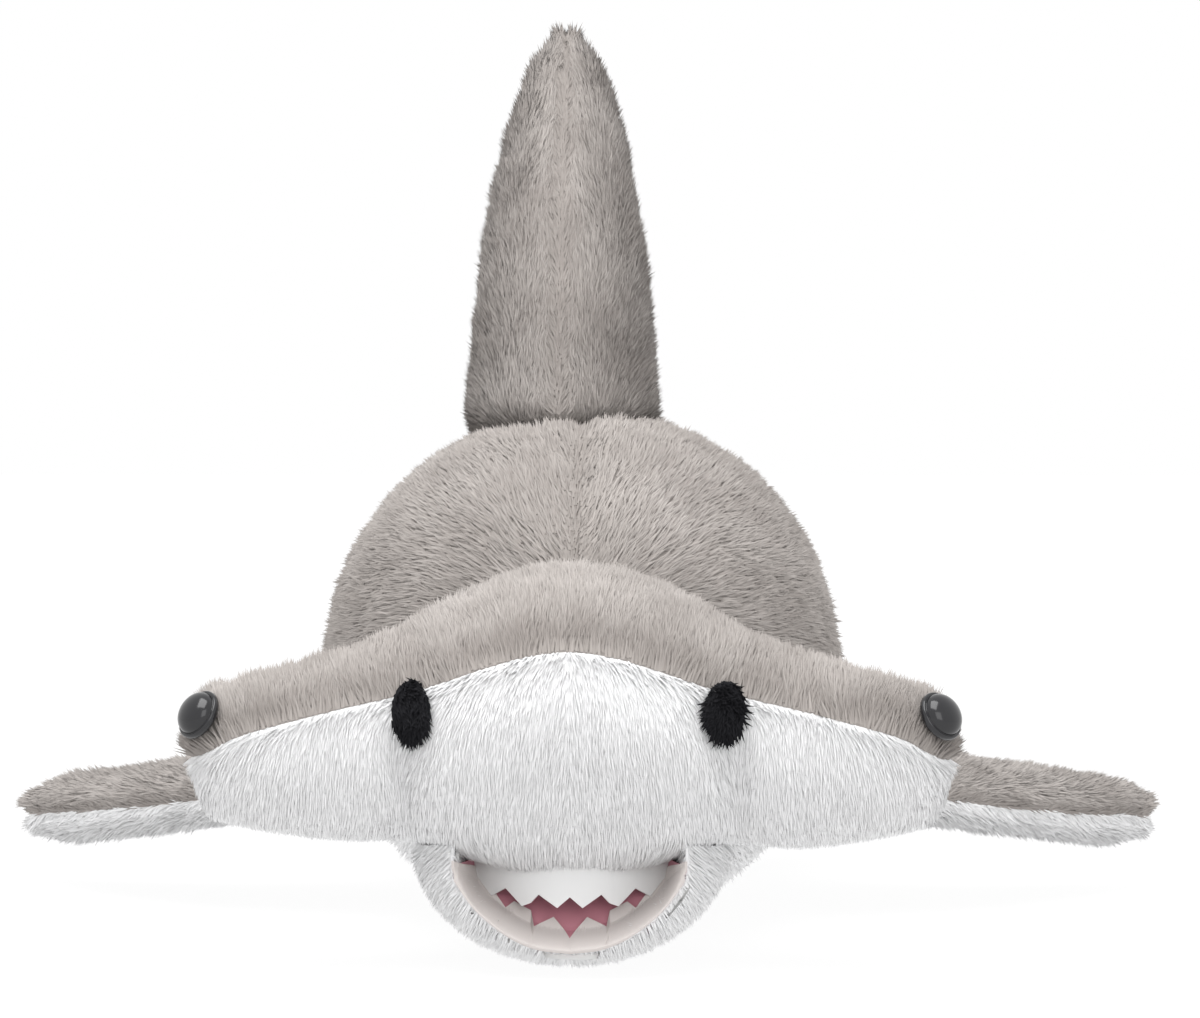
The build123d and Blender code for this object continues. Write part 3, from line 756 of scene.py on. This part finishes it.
def fin(name, body, cloths, blade, out, back, pile, strands, bare_to, tone=0.28, part=0.35, seed=1):
    """Both panels of a fin and its stuffing. Its pile lies out and back, parts from the middle of each face, and
    leaves the root bare up to there."""
    grid, panels, at = blade
    normals = outward(grid)
    cover = np.clip((at - bare_to) / 3, 0, 1)[:, None] + np.zeros(grid.shape[:2])
    flow = np.array(out) + np.array(back) * 0.55 + part * unit(grid - grid.mean(1, keepdims=True))
    for step, ((half, cloth), panel) in enumerate(zip(cloths, panels)):
        plush(f"{name}_{half}_plush", body, cloth, f"{name}_{half}", grid[:, panel], normals[:, panel],
              flow[:, panel], pile * mm, strands, cover[:, panel], lift=34, tone=tone, seed=seed + step)
    stuffing(f"{name}_stuffing", body, f"{name}_fill", grid, normals, depth=min(2.2, 1.0 + pile * 0.2))


grey_sides = (("left", grey_plush), ("right", grey_plush))
white_sides = (("left", white_plush), ("right", white_plush))
grey_over_white = (("top", grey_plush), ("under", white_plush))

dorsal = ((0, 0, 43, 26.5), (33, 6, 36, 24), (64, 20, 26, 19.3), (84, 32, 18, 14.5), (95, 39, 12, 10), (100, 42, 7, 6))
blade = blade_grid((-6, -38, 131), (0, 1, 0), (0, 0, 1), (1, 0, 0), dorsal, 3.4, 90, 44, root=14)
# the dorsal fin takes a darker tone than the body: painted shade where it faces the front
fin("dorsal", "dorsal_fin", grey_sides, blade, (0, 0, 1), (0, -0.5, 0), 5.0, 27000, -9, tone=0.2, part=0.2, seed=51)

pectoral = ((0, 0, 37, 10), (31, 6, 31, 10), (60, 21, 21, 10), (75, 32, 14, 9.5), (81, 37, 9, 7.5))
droop = 0.19
for side_name, sign in (("left", 1), ("right", -1)):
    out, face = (sign, 0, -droop), (sign * droop, 0, 1)
    blade = blade_grid((sign * 70, -51, 35.5), (0, 1, 0), out, face, pectoral, 2.9, 70, 34, root=14, squeeze=0.9)
    # the pectoral fins take a lighter tone than the body: painted light where they face up
    fin(f"pectoral_{side_name}", f"pectoral_fin_{side_name}", grey_over_white, blade, out, (0, 0.7, 0), 4.6, 16500, -8,
        tone=0.42, seed=61 + sign)

second_dorsal = ((0, 0, 14, 6.5), (10, 4, 10.5, 6), (18, 9, 6, 4.5), (21, 11, 3, 2.8))
blade = blade_grid((0, 98, 97.5), (0, 1, -0.38), (0, 0.38, 1), (1, 0, 0), second_dorsal, 1.8, 32, 20, root=7)
fin("second_dorsal", "second_dorsal_fin", grey_sides, blade, (0, 0.4, 1), (0, 1, 0), 3.2, 2800, -5, seed=71)

pelvic = ((0, 0, 14, 4.8), (14, 5, 10, 4.5), (24, 11, 5, 3.2))
for side_name, sign in (("left", 1), ("right", -1)):
    out, along = (sign, 0.3725, -0.7), (-sign * 0.25, 1, 0.175)
    face = np.cross(out, along) * sign
    blade = blade_grid((sign * 47.5, 24, 31), along, out, face, pelvic, 1.6, 36, 20, root=8)
    fin(f"pelvic_{side_name}", f"pelvic_fin_{side_name}", grey_over_white, blade, out, (0, 0.7, 0), 3.2, 2800, -5,
        seed=81 + sign)

anal = ((0, 0, 11, 5), (8, 4, 8, 4.8), (15, 9, 4, 3.2))
blade = blade_grid((0, 100, 31.4), (0, 1, 0.38), (0, 0.38, -1), (1, 0, 0), anal, 1.6, 28, 18, root=6)
fin("anal", "anal_fin", white_sides, blade, (0, 0.4, -1), (0, 1, 0), 3.0, 2000, -4, seed=91)

caudal = ((-46, 37, 4, 3.2), (-42, 34, 7, 5), (-34, 26, 10, 8), (-18, 12, 14, 9.5), (0, 2, 17, 10), (26, 14, 15, 10.5),
          (56, 27, 13, 10), (86, 39, 10, 8), (104, 47, 6.5, 5), (110, 50, 4, 3.2))
blade = blade_grid((0, 144, 64), (0, 1, 0), (0, 0, 1), (1, 0, 0), caudal, 2.4, 90, 26, root=0)
fin("caudal", "caudal_fin", grey_sides, blade, (0, 0, 0), (0, 1, 0), 3.8, 13500, -60, seed=95)


# Jaw: a white plush chin sewn on under the head, with the mouth let into its front. It is stuffed apart from the
# head, so that it can open.

jaw_centre = np.array([0, nose + 40 * mm, 30.5 * mm])
lean = np.linspace(-math.pi / 2, math.pi / 2, 120)
turn = np.linspace(math.radians(60), math.radians(420), 150)
across = 37 * mm * np.sin(lean)
radius = 27.6 * mm * np.cos(lean)
back, rise = (np.sign(wave) * np.abs(wave) ** 0.8 for wave in (np.cos(turn), np.sin(turn)))
chin_forward = 0.22
jaw_points = np.stack([across[:, None] + 0 * turn,
                       jaw_centre[1] + radius[:, None] * (back + chin_forward * np.minimum(rise, 0)),
                       jaw_centre[2] + radius[:, None] * rise], -1)
x, y, z = np.moveaxis(jaw_points, -1, 0)


def under_hammer(x, y):
    """The height of the underside of the head."""
    behind, up, deep, tall = np.moveaxis(smooth(np.abs(x), hammer), -1, 0)
    return up - tall * np.sqrt(np.clip(1 - ((y - nose - behind) / deep) ** 2, 0, 1))


ceiling = under_hammer(x, y) + 2.2 * mm
# the lower lip: across, up
lip_line = np.array([(0, 6.8), (9, 8.2), (17.5, 13), (23, 18), (27.5, 24)]) * mm


def mouth_slope(z):
    """How far back the floor of the mouth lies."""
    return nose + 24 * mm + (z - 7.5 * mm) * 14 / 18.5


lip = smooth(np.abs(x), lip_line)[..., 0]
in_mouth = (np.abs(x) < 27 * mm) & (z > lip + 0.6 * mm) & (y < jaw_centre[1])
mouth_back = mouth_slope(z) + 3 * mm
buried = (z > ceiling) & (y > nose + 48 * mm)
jaw_points[..., 1] = np.where(in_mouth, np.maximum(y + 1.6 * mm, mouth_back), y)
jaw_points[..., 2] = np.minimum(z, ceiling)
jaw_points[..., 1] = np.minimum(jaw_points[..., 1], nose + 63 * mm)
jaw_normals = outward(jaw_points)
bare_lip = (np.abs(x) < 27.4 * mm) & (z > lip) & (y < jaw_centre[1])
chin_pile = 3.6 * mm
plush("jaw_plush", "jaw", white_plush, "jaw_skin", jaw_points, jaw_normals, combed(jaw_points, 0.35, 0.7, -1.0),
      chin_pile, 24000, 1.0 * ~(buried | bare_lip), lift=28, width=0.6, stray=0.12, tufts=0.3, parted=False, seed=15)
stuffing("jaw_stuffing", "jaw", "jaw_fill", jaw_points, jaw_normals)


# Mouth: a lining of pink satin sewn to the lip all round, a zigzag of cream felt along the lower lip, and one of
# white felt that hangs from the head.


def sheet_of(name, body, node, cloth, columns, bottom, top, depth, rows=24):
    """A thin piece of cloth between two lines across the mouth, its depth given by a function of x and z."""
    share = np.linspace(0, 1, rows)[:, None]
    z = bottom + share * (top - bottom)
    x = columns + 0 * z
    points = np.stack([x, depth(x, z), z], -1)
    piece = linked(name, grid_mesh(name, points, np.broadcast_to((0.0, -1.0, 0.0), points.shape)))
    piece.data.materials.append(cloth)
    piece.modifiers.new("Cloth", "SOLIDIFY").thickness = 0.7 * mm
    piece.data = finished(piece)
    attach(piece, body)
    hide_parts(node)


def jaw_front(x, z):
    """The front of the chin, just inside its pile."""
    girth = 27.6 * mm * np.sqrt(np.clip(1 - (x / (37 * mm)) ** 2, 0.01, 1))
    rise = np.clip((z - jaw_centre[2]) / girth, -1, 1)
    return jaw_centre[1] - girth * ((1 - np.abs(rise) ** 2.5) ** 0.4 - chin_forward * np.minimum(rise, 0))


def mouth_floor(forward):
    """From the lip the lining turns in over 4 mm to the floor of the mouth."""
    def depth(x, z):
        edge = np.abs(x) / (27.5 * mm)
        from_lip = np.clip((z - smooth(np.abs(x), lip_line)[..., 0]) / (4 * mm), 0, 1)
        from_lip = from_lip * np.clip((1.0 - edge) / 0.2, 0, 1)
        turn_in = from_lip**2 * (3 - 2 * from_lip)
        at_lip = np.minimum(jaw_front(x, z) - 0.9 * mm, mouth_slope(z))
        return at_lip + (mouth_slope(z) - at_lip) * turn_in - forward
    return depth


# the edges of the two rows of teeth from the middle of the mouth outwards: across, up
lower_zigzag = np.array([(0, 9.4), (4, 13.6), (8.6, 11.6), (9.4, 15), (13.5, 17), (15.5, 15.6), (19, 20), (22.5, 24.5),
                         (27.2, 28)])
upper_zigzag = np.array([(0, 18.9), (3, 16.3), (7.5, 19.4), (9.5, 17.2), (11.5, 16.4), (15.5, 20.4), (19, 18.2),
                         (22.5, 22.4), (27, 24)])


def across_mouth(zigzag, half):
    """Columns through the mouth with one on each point of a zigzag, and its height at each."""
    kinks = np.concatenate([-zigzag[:, 0], zigzag[:, 0], np.linspace(-half, half, 56)])
    columns = np.unique(kinks[np.abs(kinks) <= half].round(3))
    return columns * mm, np.interp(np.abs(columns), zigzag[:, 0], zigzag[:, 1]) * mm


pink_satin = plain_material("Pink satin", (0.47, 0.19, 0.235), 0.55)
cream_felt = plain_material("Cream felt", (0.60, 0.555, 0.535), 0.9)
tooth_felt = plain_material("White felt", (0.72, 0.72, 0.72), 0.9)
columns, heights = across_mouth(lower_zigzag, 27.2)
lip_height = smooth(np.abs(columns), lip_line)[:, 0]
sheet_of("mouth_pink", "jaw", "mouth_lining", pink_satin, columns, lip_height - 0.3 * mm,
         np.maximum(under_hammer(columns, nose + 34 * mm) + 1 * mm, lip_height + 0.5 * mm), mouth_floor(0))
sheet_of("lower_teeth_felt", "jaw", "lower_teeth", cream_felt, columns, lip_height - 0.4 * mm,
         np.maximum(heights, lip_height), mouth_floor(1.0 * mm))


def upper_row(x, z):
    """The strip of upper teeth curves back towards its ends."""
    return nose + 23 * mm + 16 * mm * (x / (27 * mm)) ** 2 + 0 * z


columns, heights = across_mouth(upper_zigzag, 26.5)
sheet_of("upper_teeth_felt", "head", "upper_teeth", tooth_felt, columns, heights,
         under_hammer(columns, nose + 27 * mm) + 2 * mm, upper_row)
